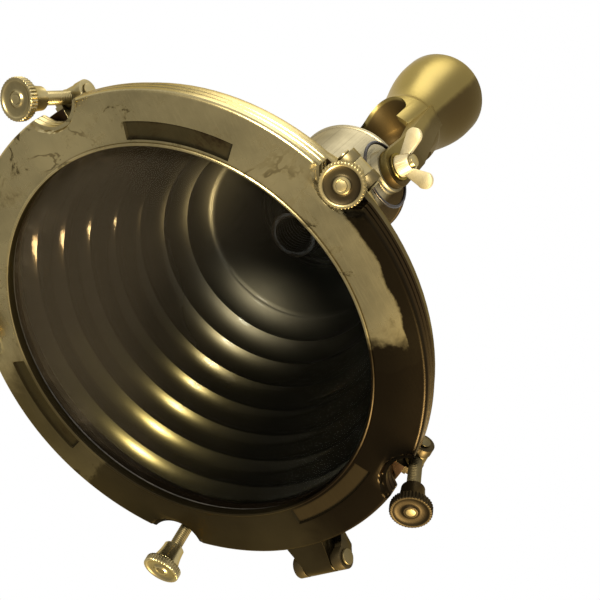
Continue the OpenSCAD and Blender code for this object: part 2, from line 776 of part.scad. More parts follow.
module glass() {
  color("#cfe0e0", 0.35) lamp() translate([0, 0, glass_front]) cylinder(h = glass_t, r = glass_r);
}

module glass_retainer() {
  color(PALE) lamp() translate([0, 0, glass_back]) difference() {
    cylinder(h = retainer_t, r = ledge_r - 0.4);
    translate([0, 0, -cut]) {
      cylinder(h = retainer_t + 2*cut, r = opening_r + 2);
      around(retainer_screws_n, retainer_screw_at, retainer_turn)
        cylinder(h = retainer_t + 2*cut, r = screw_r + fit);
    }
  }
}

module retainer_screws() {
  shank_h = retainer_t + 2.5;
  color(STEEL) lamp() translate([0, 0, retainer_back])
    around(retainer_screws_n, retainer_screw_at, retainer_turn) {
      translate([0, 0, -shank_h]) cylinder(h = shank_h, r = screw_r);
      cylinder(h = 1.2, r1 = screw_head_r - 0.5, r2 = screw_head_r - 1);
    }
}

// Closing gear

bolt_tip_r = bolt_r - 1.5;
bolt_tip_h = 4;
module swing_bolt(i) {
  shank_h = nut_reach - bolt_tip_h;
  color(PALE) lamp() along_bolt(i) difference() {
    union() {
      bar_y(bolt_eye_w, bolt_eye_r);
      translate([0, 0, -shank_h]) cylinder(h = shank_h, r = bolt_r);
      translate([0, 0, -nut_reach]) cylinder(h = bolt_tip_h + cut, r = bolt_tip_r);
    }
    bar_y(2*bolt_eye_w, bolt_pin_r + run_fit);
  }
}

// A knurled disc on a trunk that narrows towards the bezel; the disc's face is at z = 0
module thumb_nut(i) {
  knurl = [for (k = [0:2*knurl_count - 1]) let (a = 180*k/knurl_count, r = nut_r - knurl_depth*(k % 2))
    [r*cos(a), r*sin(a)]];
  edge = 0.8;
  rim_w = 2.6;
  root_r = nut_r - 3;
  color(BRIGHT) lamp() along_bolt(i) translate([0, 0, -nut_reach]) difference() {
    union() {
      intersection() {
        linear_extrude(nut_t) polygon(knurl);
        rotate_extrude() polygon([[0, 0], [nut_r - edge, 0], [nut_r + 0.1, edge], [nut_r + 0.1, nut_t - edge],
          [nut_r - edge, nut_t], [0, nut_t]]);
      }
      rotate_extrude() polygon(concat([[0, nut_t - cut], [root_r, nut_t - cut]],
        [for (k = [0:ARC_STEPS]) let (t = k/ARC_STEPS)
          [nut_trunk_r + (root_r - nut_trunk_r)*(1 - t)*(1 - t), nut_t + nut_trunk_h*t]],
        [[0, nut_t + nut_trunk_h]]));
    }
    translate([0, 0, -cut]) cylinder(h = nut_dish + cut, r = nut_r - rim_w);
    translate([0, 0, -cut]) cylinder(h = nut_t, r = bolt_tip_r + run_fit);
    translate([0, 0, bolt_tip_h - gap]) cylinder(h = nut_t + nut_trunk_h, r = bolt_r + run_fit);
  }
}

yoke();
hanging_eye();
neck_housing();
neck_lid();
lid_screws();
gland_body();
gland_seal();
gland_nut();
pivot_bolts();
pivot_washers();
wing_nut_left();
wing_nut_right();
wire_ring();
holder_plate();
holder_body();
holder_shell();
holder_contact();
holder_screws();
terminal_blocks();
shade();
shade_screws();
body_flange();
bezel_gasket();
bolt_pins();
hinge_pin();
bezel_ring();
glass_gasket();
glass();
glass_retainer();
retainer_screws();
swing_bolt(1);  // swing_bolt_1
swing_bolt(2);  // swing_bolt_2
swing_bolt(3);  // swing_bolt_3
swing_bolt(4);  // swing_bolt_4
swing_bolt(5);  // swing_bolt_5
thumb_nut(1);  // thumb_nut_1
thumb_nut(2);  // thumb_nut_2
thumb_nut(3);  // thumb_nut_3
thumb_nut(4);  // thumb_nut_4
thumb_nut(5);  // thumb_nut_5
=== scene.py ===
import math

import bmesh
import bpy
from mathutils import Matrix, Vector, noise


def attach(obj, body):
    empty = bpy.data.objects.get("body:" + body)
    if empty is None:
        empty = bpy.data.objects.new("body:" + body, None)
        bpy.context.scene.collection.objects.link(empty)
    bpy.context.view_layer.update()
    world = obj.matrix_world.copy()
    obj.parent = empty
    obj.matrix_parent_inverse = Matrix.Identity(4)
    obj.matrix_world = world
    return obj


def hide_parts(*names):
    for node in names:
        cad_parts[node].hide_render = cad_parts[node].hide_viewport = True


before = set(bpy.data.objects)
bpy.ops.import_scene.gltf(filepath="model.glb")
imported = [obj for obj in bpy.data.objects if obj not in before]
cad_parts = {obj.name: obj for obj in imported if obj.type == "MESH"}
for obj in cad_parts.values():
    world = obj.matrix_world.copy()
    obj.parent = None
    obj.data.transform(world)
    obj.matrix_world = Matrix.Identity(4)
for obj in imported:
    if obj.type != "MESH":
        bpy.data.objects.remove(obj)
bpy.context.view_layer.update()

bl_info = {
    "name": "Ship cargo light",
    "version": (1, 0, 0),
    "blender": (4, 5, 0),
    "location": "View3D > Sidebar > Cargo light",
    "description": "Dresses the solids of a brass cargo light: shade, bezel, closing gear, neck and hanger",
    "category": "Add Mesh",
}

# The hanging eye is the origin; heights below are measured from the bezel's front edge
GLASS_FRONT = 0.004
EYE_HEIGHT = GLASS_FRONT - min(v.co.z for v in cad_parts["glass"].data.vertices)
SMOOTH_ANGLE = math.radians(32)
BOLT_TURNS = [math.radians(90 + 72 * i) for i in range(5)]
PANEL_TURNS = [math.radians(turn) for turn in (123, 252, 356)]
SCALLOP_FLOOR_R = 0.154

# Directions across the lamp, as X and Y shares, that place the painted shadow, sheen and light
HINGE = (-0.07, -1.0)
RIGHT_OF_HINGE = (-0.80, -0.60)
LEFT_OF_HINGE = (0.95, -0.30)
RIGHT_RIM = (-0.85, -0.52)
LIT_SIDE = (0.60, 0.80)
LOW_LEFT = (0.76, -0.65)
LOW_RIGHT = (-0.41, -0.91)


class LampSizes(bpy.types.PropertyGroup):
    """Sizes of the pieces that are modelled here"""

    bezel_r: bpy.props.FloatProperty(
        name="Bezel radius", description="Outer radius of the bezel ring", default=0.165, unit="LENGTH")
    opening_r: bpy.props.FloatProperty(
        name="Opening radius", description="Radius of the clear opening", default=0.131, unit="LENGTH")
    bezel_depth: bpy.props.FloatProperty(
        name="Bezel depth", description="From the outer front edge to the back",
        default=0.014, unit="LENGTH")
    bezel_crown: bpy.props.FloatProperty(
        name="Bezel crown", description="Rise of the face towards the opening",
        default=0.003, unit="LENGTH")
    panel_depth: bpy.props.FloatProperty(
        name="Panel depth", description="Depth of the sunken panels", default=0.0016, unit="LENGTH")
    scallop_r: bpy.props.FloatProperty(
        name="Scallop radius", description="Radius of the cut beside a swing bolt",
        default=0.020, unit="LENGTH")
    mouth_r: bpy.props.FloatProperty(
        name="Shade mouth", description="Inner radius of the shade at the flange",
        default=0.138, unit="LENGTH")
    seam_r: bpy.props.FloatProperty(
        name="Seam radius", description="Inner radius where the ribs end", default=0.071, unit="LENGTH")
    rib_pitch: bpy.props.FloatProperty(
        name="Rib pitch", description="Height of one rib", default=0.0195, unit="LENGTH")
    rib_depth: bpy.props.FloatProperty(
        name="Rib depth", description="Depth of one rib", default=0.003, unit="LENGTH")
    shade_wall: bpy.props.FloatProperty(
        name="Shade wall", description="Wall of the shade", default=0.0015, unit="LENGTH")
    edge_ease: bpy.props.FloatProperty(
        name="Edge ease", description="Rounding of cast edges", default=0.0007, unit="LENGTH")


class LampColours(bpy.types.PropertyGroup):
    """Colours of the finishes"""

    pale_brass: bpy.props.FloatVectorProperty(
        name="Pale brass", description="Rubbed face of the castings", subtype="COLOR", size=3,
        default=(0.415, 0.340, 0.170))
    yellow_brass: bpy.props.FloatVectorProperty(
        name="Yellow brass", description="Polished hanger and gland", subtype="COLOR", size=3,
        default=(0.235, 0.180, 0.060))
    neck_brass: bpy.props.FloatVectorProperty(
        name="Neck brass", description="Drawn brass of the neck", subtype="COLOR", size=3,
        default=(0.32, 0.28, 0.18))
    # Also the colour that the painted shadow darkens towards
    patina_and_shadow: bpy.props.FloatVectorProperty(
        name="Patina", description="Dark tarnish in recesses and stains", subtype="COLOR", size=3,
        default=(0.016, 0.010, 0.0055))
    # Very dark, as tarnish and as a painted dark reflection inside the shade
    bronze: bpy.props.FloatVectorProperty(
        name="Bronze", description="Tarnished inside of the shade", subtype="COLOR", size=3,
        default=(0.0140, 0.0082, 0.0050))
    backdrop: bpy.props.FloatVectorProperty(
        name="Backdrop", description="Floor", subtype="COLOR", size=3, default=(0.80, 0.80, 0.79))


class Link:
    """A node's output that takes part in Python expressions; each operation adds a Math node."""

    def __init__(self, finish, socket):
        self.finish = finish
        self.socket = socket

    def math(self, operation, *values):
        return self.finish.node("ShaderNodeMath", {"operation": operation}, dict(enumerate(values)))

    def __add__(self, other):
        return self.math("ADD", self, other)

    __radd__ = __add__

    def __sub__(self, other):
        return self.math("SUBTRACT", self, other)

    def __rsub__(self, other):
        return self.math("SUBTRACT", other, self)

    def __mul__(self, other):
        return self.math("MULTIPLY", self, other)

    __rmul__ = __mul__

    def __truediv__(self, other):
        return self.math("DIVIDE", self, other)

    def __pow__(self, other):
        return self.math("POWER", self, other)

    def larger(self, other):
        return self.math("MAXIMUM", self, other)

    def clamped(self):
        return self.finish.node("ShaderNodeClamp", {}, {"Value": self})

    def step(self, low, high):
        """0 below low, 1 above high, smooth between."""
        return self.finish.node("ShaderNodeMapRange", {"interpolation_type": "SMOOTHSTEP"},
                                {"Value": self, "From Min": low, "From Max": high})


class Finish:
    """A material and the nodes that make it."""

    def __init__(self, name):
        self.material = bpy.data.materials.new(name)
        self.material.use_nodes = True
        self.tree = self.material.node_tree
        self.tree.nodes.clear()

    def node(self, kind, settings, sockets, output=0):
        made = self.tree.nodes.new(kind)
        for key, value in settings.items():
            setattr(made, key, value)
        for key, value in sockets.items():
            socket = made.inputs[key]
            if isinstance(value, Link):
                self.tree.links.new(value.socket, socket)
            elif socket.type == "RGBA" and len(value) == 3:
                socket.default_value = (*value, 1.0)
            else:
                socket.default_value = value
        return Link(self, made.outputs[output]) if made.outputs else None

    def place(self):
        return self.node("ShaderNodeTexCoord", {}, {}, "Object")

    def stretched(self, scale):
        return self.node("ShaderNodeMapping", {}, {"Vector": self.place(), "Scale": scale})

    def axes(self):
        split = self.node("ShaderNodeSeparateXYZ", {}, {"Vector": self.place()})
        return [Link(self, socket) for socket in split.socket.node.outputs]

    def radius(self):
        x, y, _ = self.axes()
        return (x * x + y * y) ** 0.5

    def noise(self, scale, detail=4.0, roughness=0.55, distortion=0.0, vector=None):
        return self.node("ShaderNodeTexNoise", {},
                         {"Vector": vector or self.place(), "Scale": scale, "Detail": detail,
                          "Roughness": roughness, "Distortion": distortion})

    def mix(self, factor, low, high):
        return self.node("ShaderNodeMix", {"data_type": "RGBA"}, {0: factor, 6: low, 7: high}, 2)

    def recess(self, distance):
        """1 in corners and gaps, 0 on open faces."""
        open_share = self.node("ShaderNodeAmbientOcclusion", {"samples": 6}, {"Distance": distance}, "AO")
        return (1.0 - open_share).step(0.25, 0.85)

    def bump(self, height, distance, strength=1.0):
        return self.node("ShaderNodeBump", {},
                         {"Height": height, "Distance": distance, "Strength": strength})

    def surface(self, shader):
        self.node("ShaderNodeOutputMaterial", {}, {"Surface": shader})
        return self.material

    def principled(self, **sockets):
        names = {key.replace("_", " ").title().replace("Ior", "IOR"): value
                 for key, value in sockets.items()}
        return self.node("ShaderNodeBsdfPrincipled", {}, names)


def times(colour, share):
    """A colour made darker or lighter."""
    return tuple(value * share for value in colour)


def swept(f, along, across):
    """A seamless vector that varies slowly round the lamp's axis and faster across it."""
    x, y, z = f.axes()
    radius = f.radius()
    return f.node("ShaderNodeCombineXYZ", {},
                  {"X": x / radius * along, "Y": y / radius * along, "Z": (z + radius * 0.7) * across})


def tarnished_brass(name, metal, patina_and_shadow, stain=0.45, gloss=0.26, recess=0.007, grain=None, shadow_and_stains=None,
                    pits=0.5, spread=0.0, edge_tint=(0.72, 0.58, 0.34), dulling=0.16):
    """Brass that is rubbed on open faces, stained in blotches and dark in its recesses, with painted shadow
    from an optional function.
    """
    f = Finish(name)
    broad = f.noise(9.0, 5.0, 0.6)
    blotch = f.noise(34.0, 8.0, 0.72, 0.5).step(0.60 - spread, 0.80 - spread)
    fleck = f.noise(210.0, 6.0, 0.7).step(0.66, 0.80)
    hair = f.noise(1.0, 4.0, 0.6, 0.0, grain(f) if grain else f.stretched((900.0, 60.0, 900.0)))
    corner = f.recess(recess)
    tarnish_and_shadow = (blotch * stain + fleck * 0.35 * stain + corner * 0.9).clamped()
    # Painted shadow: the optional function darkens one side of the lamp through the tarnish mask
    if shadow_and_stains:
        tarnish_and_shadow = tarnish_and_shadow.larger(shadow_and_stains(f, broad)).clamped()
    light = times(metal, 1.22)
    rubbing_and_sheen = f.mix(broad.step(0.35, 0.68), times(metal, 0.74), light)
    rubbing_and_sheen = f.mix(hair.step(0.45, 0.75) * 0.35, rubbing_and_sheen, light)
    colour = f.mix(tarnish_and_shadow, rubbing_and_sheen, patina_and_shadow)
    relief = f.noise(70.0, 4.0, 0.6) * 0.5 + fleck * -0.5 * pits + hair * 0.25
    shader = f.principled(
        base_color=colour, metallic=1.0 - tarnish_and_shadow * 0.12,
        roughness=gloss + tarnish_and_shadow * dulling + broad * 0.10,
        specular_tint=edge_tint, normal=f.bump(relief, 0.00035, 0.5))
    return f.surface(shader)


def towards(f, direction):
    """1 on the side of the lamp that the direction points to, -1 on the other side."""
    x, y, _ = f.axes()
    return (x * direction[0] + y * direction[1]) / f.radius()


def shadowed_nuts(start, end):
    """Painted shadow on the thumb nut at the right of the hinge, and less on the one above it."""
    def shadow_and_stains(f, broad):
        return (towards(f, RIGHT_OF_HINGE) + (broad - 0.5) * 0.2).step(start, end) * 0.90 + 0.08
    return shadow_and_stains


def shadowed_hinge_side(share, start=0.25, end=0.42, fray=0.4):
    """Painted shadow on the side of the hinge; share is its depth, fray how far its edge wanders."""
    def shadow_and_stains(f, broad):
        drawn = f.noise(2.4, 5.0, 0.6, 0.8, swept(f, 1.0, 12.0))
        wander = f.noise(22.0, 6.0, 0.65, 0.4)
        edge = ((drawn - 0.5) * 0.5 + (wander - 0.5) * 1.1 + (broad - 0.5) * 0.4) * fray
        return (towards(f, HINGE) + edge).step(start, end) * share
    return shadow_and_stains


def shadowed_hood_and_side(f, broad):
    """Painted shadow on the hanger: dark inside its hood and on the side of the hinge."""
    _, y, z = f.axes()
    radius = f.radius()
    outside = radius.step(0.0285, 0.0310)
    above = (z + EYE_HEIGHT).step(0.400, 0.404)
    inside = (1.0 - outside) * (1.0 - above)
    turning = (y / radius * -1.0 + (broad - 0.5) * 0.5).step(-0.80, -0.25) * 0.42
    # Painted shadow on the side of the hinge, turning round the hood, and inside the hood
    return shadowed_hinge_side(0.95, -0.16, 0.10, 0.16)(f, broad).larger(turning).larger(inside * 0.93)


def ring_shadows_and_stains(f, broad):
    """Painted shadow on the bezel, black at the right of the hinge, brown at its left and dark in the bore,
    with veins and marks of stain.
    """
    radius = f.radius()
    wander = f.noise(26.0, 6.0, 0.65, 0.4) - 0.5
    black = (towards(f, RIGHT_RIM) + wander * 0.3).step(0.50, 0.74)
    rim = (radius + wander * 0.010).step(0.1535, 0.1560) * black * 0.99
    brown = (towards(f, LEFT_OF_HINGE) + wander * 0.3).step(0.78, 0.95) * 0.82
    bore = (1.0 - radius.step(0.1312, 0.1317)) * 0.93
    beside = shadowed_hinge_side(1.0)(f, broad) * (0.95 + black * 0.045)
    right_end = (towards(f, RIGHT_OF_HINGE) + wander * 0.10).step(0.922, 0.952) * 0.992
    off = f.noise(11.0, 5.0, 0.6, 1.0) - 0.5
    veins = (1.0 - (off * off).step(0.00002, 0.0003)) * broad.step(0.50, 0.60) * 0.7
    flock = f.noise(13.0, 3.0, 0.5).step(0.46, 0.58)
    marks = f.noise(38.0, 8.0, 0.72, 0.6).step(0.56, 0.63) * flock * 0.88
    # Painted shadow from beside, rim, right_end, brown and bore; veins and marks are real stains
    sides = beside.larger(rim).larger(right_end).larger(brown)
    return sides.larger(bore).larger(veins).larger(marks)


def flange_shadows(f, broad):
    """Painted shadow on the body flange: dark on the side of the hinge, brown up to the next bolt."""
    brown = (towards(f, RIGHT_RIM) + (broad - 0.5) * 0.4).step(0.40, 0.70) * 0.78
    return shadowed_hinge_side(0.92)(f, broad).larger(brown)


def neck_shadow_and_lines(f, broad):
    """The neck: painted shadow on the side of the hinge, with tarnished drawing lines along its length."""
    lines = f.noise(1.0, 2.0, 0.6, 0.0, swept(f, 34.0, 3.0)).step(0.58, 0.70) * 0.34
    return shadowed_hinge_side(0.95, 0.26, 0.50, 0.3)(f, broad).larger(lines)


def lathe_grain(f):
    return swept(f, 20.0, 540.0)


def length_grain(f):
    return swept(f, 42.0, 14.0)


def shade_bronze(name, bronze, metal):
    """The inside of the shade: smooth spun bronze, dark as tarnish and as a painted dark reflection, with
    painted shadow half way up and on the side away from the light, painted sheen low at the left, painted
    light low at the right, and grey in the crown.
    """
    f = Finish(name)
    height = f.axes()[2] + EYE_HEIGHT
    broad = f.noise(6.0, 4.0, 0.55, 0.5)
    # Painted shadow on the side away from the lit side
    away = (towards(f, LIT_SIDE) + (broad - 0.5) * 0.5).step(-0.75, 0.3)
    # Painted sheen: lighter, rougher metal round the low highlights at the left
    rubbing_and_sheen = (towards(f, LOW_LEFT) + (broad - 0.5) * 0.4).step(0.60, 0.97)
    cloud = f.noise(1.0, 3.0, 0.5, 0.3, swept(f, 3.4, 5.0)).step(0.36, 0.66)
    band = f.noise(1.0, 4.0, 0.6, 0.0, swept(f, 1.5, 260.0))
    fine = f.noise(1.0, 4.0, 0.6, 0.0, lathe_grain(f))
    film_and_veil = f.noise(30.0, 6.0, 0.65, 0.5).step(0.52, 0.80)
    deep = height.step(0.095, 0.170)
    # Painted shadow half way up the shade
    shadowed_midway = height.step(0.040, 0.095) * (1.0 - deep)
    lit_low = (towards(f, LOW_RIGHT) + (broad - 0.5) * 0.2).step(0.70, 1.0) * (1.0 - deep)
    clouded = (bronze[0] * 1.3, bronze[1] * 1.5, bronze[2] * 1.2)
    brown = f.mix(cloud, times(bronze, 0.55), clouded)
    brown = f.mix(band.step(0.5, 0.8) * 0.12, brown, times(metal, 0.16))
    brown = f.mix(rubbing_and_sheen * 0.55, brown, times(metal, 0.34))
    grey = f.mix(broad.step(0.3, 0.7), (0.100, 0.086, 0.066), (0.175, 0.152, 0.118))
    both = f.mix(shadowed_midway * 0.5, f.mix(deep * 0.9, brown, grey), (0.004, 0.003, 0.002))
    lit_and_shadowed = f.mix(away, f.mix(0.76, both, (0.008, 0.006, 0.004)), both)
    lit_and_shadowed = f.mix(lit_low * 0.6, lit_and_shadowed, (0.060, 0.050, 0.031))
    colour = f.mix(film_and_veil * 0.35, lit_and_shadowed, (0.008, 0.005, 0.003))
    shader = f.principled(base_color=colour, metallic=0.95 - film_and_veil * 0.10,
                          roughness=0.08 + film_and_veil * 0.08 + broad * 0.05 + rubbing_and_sheen * 0.13 + deep * 0.30,
                          coat_weight=0.03 + cloud * 0.05, coat_roughness=0.09,
                          normal=f.bump(fine * 0.4 + band * 0.6, 0.00015, 0.25))
    return f.surface(shader)


def dark_wire(name):
    f = Finish(name)
    rust = f.noise(120.0, 6.0, 0.7).step(0.5, 0.75)
    colour = f.mix(rust, (0.055, 0.050, 0.045), (0.070, 0.042, 0.026))
    shader = f.principled(base_color=colour, metallic=1.0 - rust * 0.5, roughness=0.38 + rust * 0.25,
                          normal=f.bump(rust, 0.0002, 0.5))
    return f.surface(shader)


def aged_rubber(name):
    f = Finish(name)
    chalk = f.noise(90.0, 6.0, 0.7)
    colour = f.mix(chalk.step(0.4, 0.75), (0.016, 0.015, 0.014), (0.055, 0.050, 0.045))
    shader = f.principled(base_color=colour, roughness=0.62 + chalk * 0.25,
                          normal=f.bump(f.noise(600.0, 3.0, 0.6), 0.0002, 0.5))
    return f.surface(shader)


def glazed_porcelain(name):
    f = Finish(name)
    stain = f.noise(40.0, 7.0, 0.7, 0.6).step(0.5, 0.78)
    colour = f.mix((stain * 0.7 + f.recess(0.006) * 0.5).clamped(), (0.034, 0.024, 0.017),
                   (0.012, 0.009, 0.006))
    shader = f.principled(base_color=colour, roughness=0.16 + stain * 0.3, coat_weight=0.4,
                          normal=f.bump(f.noise(55.0, 3.0, 0.5), 0.0003, 0.3))
    return f.surface(shader)


def clear_glass(name):
    """Flat glass: it lets light through, reflects more at a slant, has dust at its rim and a painted pale
    reflection over one half.
    """
    f = Finish(name)
    x, y, _ = f.axes()
    dust = f.noise(30.0, 8.0, 0.7, 0.5).step(0.45, 0.8)
    rim = f.radius().step(0.105, 0.133)
    # Painted reflection: a pale veil on the half of the glass towards the lit side
    film_and_veil = (x * 0.6 + y * 0.8 + (f.noise(9.0, 5.0, 0.6, 0.4) - 0.5) * 0.12).step(-0.07, 0.10)
    slant = f.node("ShaderNodeLayerWeight", {}, {"Blend": 0.12}, "Fresnel")
    shine = f.principled(base_color=f.mix(film_and_veil, (0.02, 0.022, 0.021), (0.27, 0.23, 0.18)),
                         roughness=0.03 + dust * 0.12, ior=1.5)
    through = f.node("ShaderNodeBsdfTransparent", {}, {"Color": (0.93, 0.95, 0.94, 1.0)})
    share = (0.008 + slant * 0.40 + film_and_veil * 0.012 + dust * rim * 0.06).clamped()
    return f.surface(f.node("ShaderNodeMixShader", {}, {0: share, 1: through, 2: shine}))


def pale_floor(name, colour):
    f = Finish(name)
    cloud = f.noise(1.5, 4.0, 0.6)
    tone = f.mix(cloud, times(colour, 0.97), colour)
    far = f.radius().step(4.0, 11.0)
    return f.surface(f.principled(base_color=tone, roughness=0.7 + cloud * 0.1, alpha=1.0 - far))


FINISHES = {}


def finish(key):
    """The material of that name, made once."""
    if key not in FINISHES:
        c = bpy.context.scene.lamp_colours
        pale, yellow, neck, patina_and_shadow, bronze = (
            tuple(colour) for colour in (c.pale_brass, c.yellow_brass, c.neck_brass, c.patina_and_shadow, c.bronze))
        # Several finishes take a function that adds painted shadow on one side of the lamp
        makers = {
            "ring": lambda: tarnished_brass(
                "ring_brass", pale, times(patina_and_shadow, 0.30), stain=0.7, gloss=0.22, recess=0.006,
                shadow_and_stains=ring_shadows_and_stains, pits=0.35, spread=0.06, dulling=0.05),
            "panel": lambda: tarnished_brass(
                "panel_patina", times(pale, 0.12), times(patina_and_shadow, 0.5), stain=1.0, gloss=0.42, recess=0.005,
                shadow_and_stains=shadowed_hinge_side(0.8), pits=2.0, spread=0.12),
            "cast": lambda: tarnished_brass(
                "cast_brass", pale, patina_and_shadow, stain=0.7, gloss=0.28, recess=0.010, shadow_and_stains=flange_shadows),
            "hanger": lambda: tarnished_brass(
                "hanger_brass", yellow, (0.036, 0.022, 0.008), stain=0.35, gloss=0.26, recess=0.014,
                shadow_and_stains=shadowed_hood_and_side, edge_tint=(0.92, 0.80, 0.54)),
            "wing": lambda: tarnished_brass(
                "wing_brass", (0.69, 0.59, 0.36), patina_and_shadow, stain=0.2, gloss=0.46, recess=0.006),
            "neck": lambda: tarnished_brass(
                "neck_brass", neck, patina_and_shadow, stain=0.35, gloss=0.42, recess=0.009, grain=length_grain,
                shadow_and_stains=neck_shadow_and_lines),
            # Painted shadow: a dark bronze on the retainer and the flange's bore, so they blend with the
            # dark inside of the shade
            "bronze": lambda: tarnished_brass(
                "bronze_edge", times(bronze, 3.4), patina_and_shadow, stain=0.5, gloss=0.30, recess=0.006,
                grain=lathe_grain),
            "soot": lambda: tarnished_brass(
                "sooty_brass", (0.030, 0.025, 0.018), (0.010, 0.008, 0.006), stain=0.8, gloss=0.42,
                recess=0.010),
            "bright": lambda: tarnished_brass(
                "bright_brass", yellow, patina_and_shadow, stain=0.4, gloss=0.26, recess=0.006),
            "nut": lambda: tarnished_brass(
                "nut_brass", times(pale, 1.1), times(patina_and_shadow, 0.5), stain=0.5, gloss=0.24, recess=0.005,
                shadow_and_stains=shadowed_nuts(0.26, 0.94)),
            "dish": lambda: tarnished_brass(
                "dish_brass", times(pale, 0.8), times(patina_and_shadow, 0.5), stain=0.6, gloss=0.26, recess=0.004,
                shadow_and_stains=shadowed_nuts(-0.05, 0.66), pits=0.8),
            "bolt": lambda: tarnished_brass(
                "bolt_brass", pale, patina_and_shadow, stain=0.6, gloss=0.30, recess=0.006, shadow_and_stains=shadowed_hinge_side(0.7)),
            "shade_out": lambda: tarnished_brass(
                "shade_outside", pale, patina_and_shadow, stain=0.55, gloss=0.32, recess=0.012, grain=lathe_grain),
            "shade_in": lambda: shade_bronze("shade_inside", bronze, yellow),
            "wire": lambda: dark_wire("wire"),
            "rubber": lambda: aged_rubber("rubber"),
            "porcelain": lambda: glazed_porcelain("porcelain"),
            "glass": lambda: clear_glass("clear_glass"),
            "floor": lambda: pale_floor("pale_floor", tuple(c.backdrop)),
        }
        FINISHES[key] = makers[key]()
    return FINISHES[key]


def lifted(z):
    """A height above the bezel's front edge, in the row frame."""
    return z - EYE_HEIGHT


def add_piece(name, bm, body, keys, replaced=()):
    """Makes the bmesh a piece that rides on a body, with its finishes."""
    mesh = bpy.data.meshes.new(name)
    bm.normal_update()
    bm.to_mesh(mesh)
    bm.free()
    obj = bpy.data.objects.new(name, mesh)
    bpy.context.scene.collection.objects.link(obj)
    for key in keys:
        mesh.materials.append(finish(key))
    mesh.polygons.foreach_set("use_smooth", [True] * len(mesh.polygons))
    mesh.set_sharp_from_angle(angle=SMOOTH_ANGLE)
    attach(obj, body)
    if replaced:
        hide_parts(*replaced)
    return obj


def lathe(points, steps, place=None, relief=None):
    """Spins a closed profile of (radius, height) points round Z, or round the axis of place.

    relief gives a change of radius for a radius, a height and a turn.
    """
    bm = bmesh.new()
    verts = [bm.verts.new((r, 0.0, z)) for r, z in points]
    edges = [bm.edges.new(pair) for pair in zip(verts, verts[1:] + verts[:1])]
    bmesh.ops.spin(bm, geom=verts + edges, cent=(0, 0, 0), axis=(0, 0, 1), dvec=(0, 0, 0), angle=math.tau,
                   steps=steps, use_merge=True, use_duplicate=False)
    bmesh.ops.remove_doubles(bm, verts=bm.verts, dist=1e-6)
    bmesh.ops.recalc_face_normals(bm, faces=bm.faces)
    if relief:
        for v in bm.verts:
            r = math.hypot(v.co.x, v.co.y)
            share = 1 + relief(r, v.co.z, math.atan2(v.co.y, v.co.x)) / r
            v.co.x, v.co.y = v.co.x * share, v.co.y * share
    bmesh.ops.transform(bm, matrix=place or Matrix.Translation((0, 0, -EYE_HEIGHT)), verts=bm.verts)
    return bm


def thread(radius, pitch, depth, low, high):
    """A relief that winds a groove round a rod, faded at both ends."""
    def relief(r, z, turn):
        if abs(r - radius) > 1e-5:
            return 0.0
        crest = abs(2 * ((z / pitch + turn / math.tau) % 1.0) - 1)
        fade = min(1.0, max(0.0, (z - low) / pitch), max(0.0, (high - z) / pitch))
        return -depth * min(1.0, 1.25 * (1 - crest)) * fade
    return relief


def threaded_sleeve(radius, inner, pitch, depth, low, high, place):
    """A short threaded tube round a rod."""
    rows = max(2, int(8 * (high - low) / pitch))
    points = [(radius, low + (high - low) * i / rows) for i in range(rows + 1)]
    return lathe(points + [(inner, high), (inner, low)], 40, place, thread(radius, pitch, depth, low, high))


def slimmed(bm, place, radius, slim, reach):
    """Draws in the vertices of a rod round the axis of place, to make room for a sleeve."""
    back = place.inverted()
    for v in bm.verts:
        at = back @ v.co
        r = math.hypot(at.x, at.y)
        if abs(r - radius) < 2e-5 and reach[0] <= at.z <= reach[1]:
            v.co = place @ Vector((at.x * slim / r, at.y * slim / r, at.z))


def turn_between(turn, other):
    """The angle from one turn to another, within half a turn either way."""
    return (turn - other + math.pi) % math.tau - math.pi


def extruded(bm, faces):
    """Extrudes the faces and gives the new vertices."""
    moved = bmesh.ops.extrude_face_region(bm, geom=faces)["geom"]
    return [part for part in moved if isinstance(part, bmesh.types.BMVert)]


def round_edges(bm, edges, offset, segments):
    bmesh.ops.bevel(bm, geom=edges, offset=offset, offset_type="OFFSET", affect="EDGES",
                    segments=segments, profile=0.5, material=-1, clamp_overlap=True)


def eased_copy(node, ease, segments=2, angle=38.0):
    """A merged copy of a CAD node with its sharp edges rounded."""
    bm = bmesh.new()
    bm.from_mesh(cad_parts[node].data)
    bmesh.ops.remove_doubles(bm, verts=bm.verts, dist=2e-6)
    bmesh.ops.dissolve_limit(bm, angle_limit=math.radians(0.5), verts=bm.verts, edges=bm.edges)
    sharp = [e for e in bm.edges if len(e.link_faces) == 2 and e.calc_face_angle(0) > math.radians(angle)]
    if ease > 0:
        round_edges(bm, sharp, ease, segments)
    return bm


def slot_heads(bm, count, ring_r, first, width=0.0011, depth=0.0009, head_r=0.0037):
    """Cuts a straight slot across each of a ring of round screw heads."""
    for i in range(count):
        turn = first + math.tau * i / count
        middle = Vector((ring_r * math.cos(turn), ring_r * math.sin(turn)))
        across = Vector((math.cos(turn * 3.7), math.sin(turn * 3.7), 0))
        for side in (-0.5, 0.5):
            near = [f for f in bm.faces if (f.calc_center_median().xy - middle).length < head_r]
            geom = list({g for f in near for g in (*f.verts, *f.edges)}) + near
            bmesh.ops.bisect_plane(bm, geom=geom, dist=1e-6, plane_no=across,
                                   plane_co=middle.to_3d() + across * side * width)
        bm.normal_update()
        slot = []
        for f in bm.faces:
            off = f.calc_center_median().xy - middle
            if off.length < head_r and f.normal.z > 0.3 and abs(off.dot(across.xy)) < width / 2:
                slot.append(f)
        bmesh.ops.translate(bm, vec=(0, 0, -depth), verts=extruded(bm, slot))


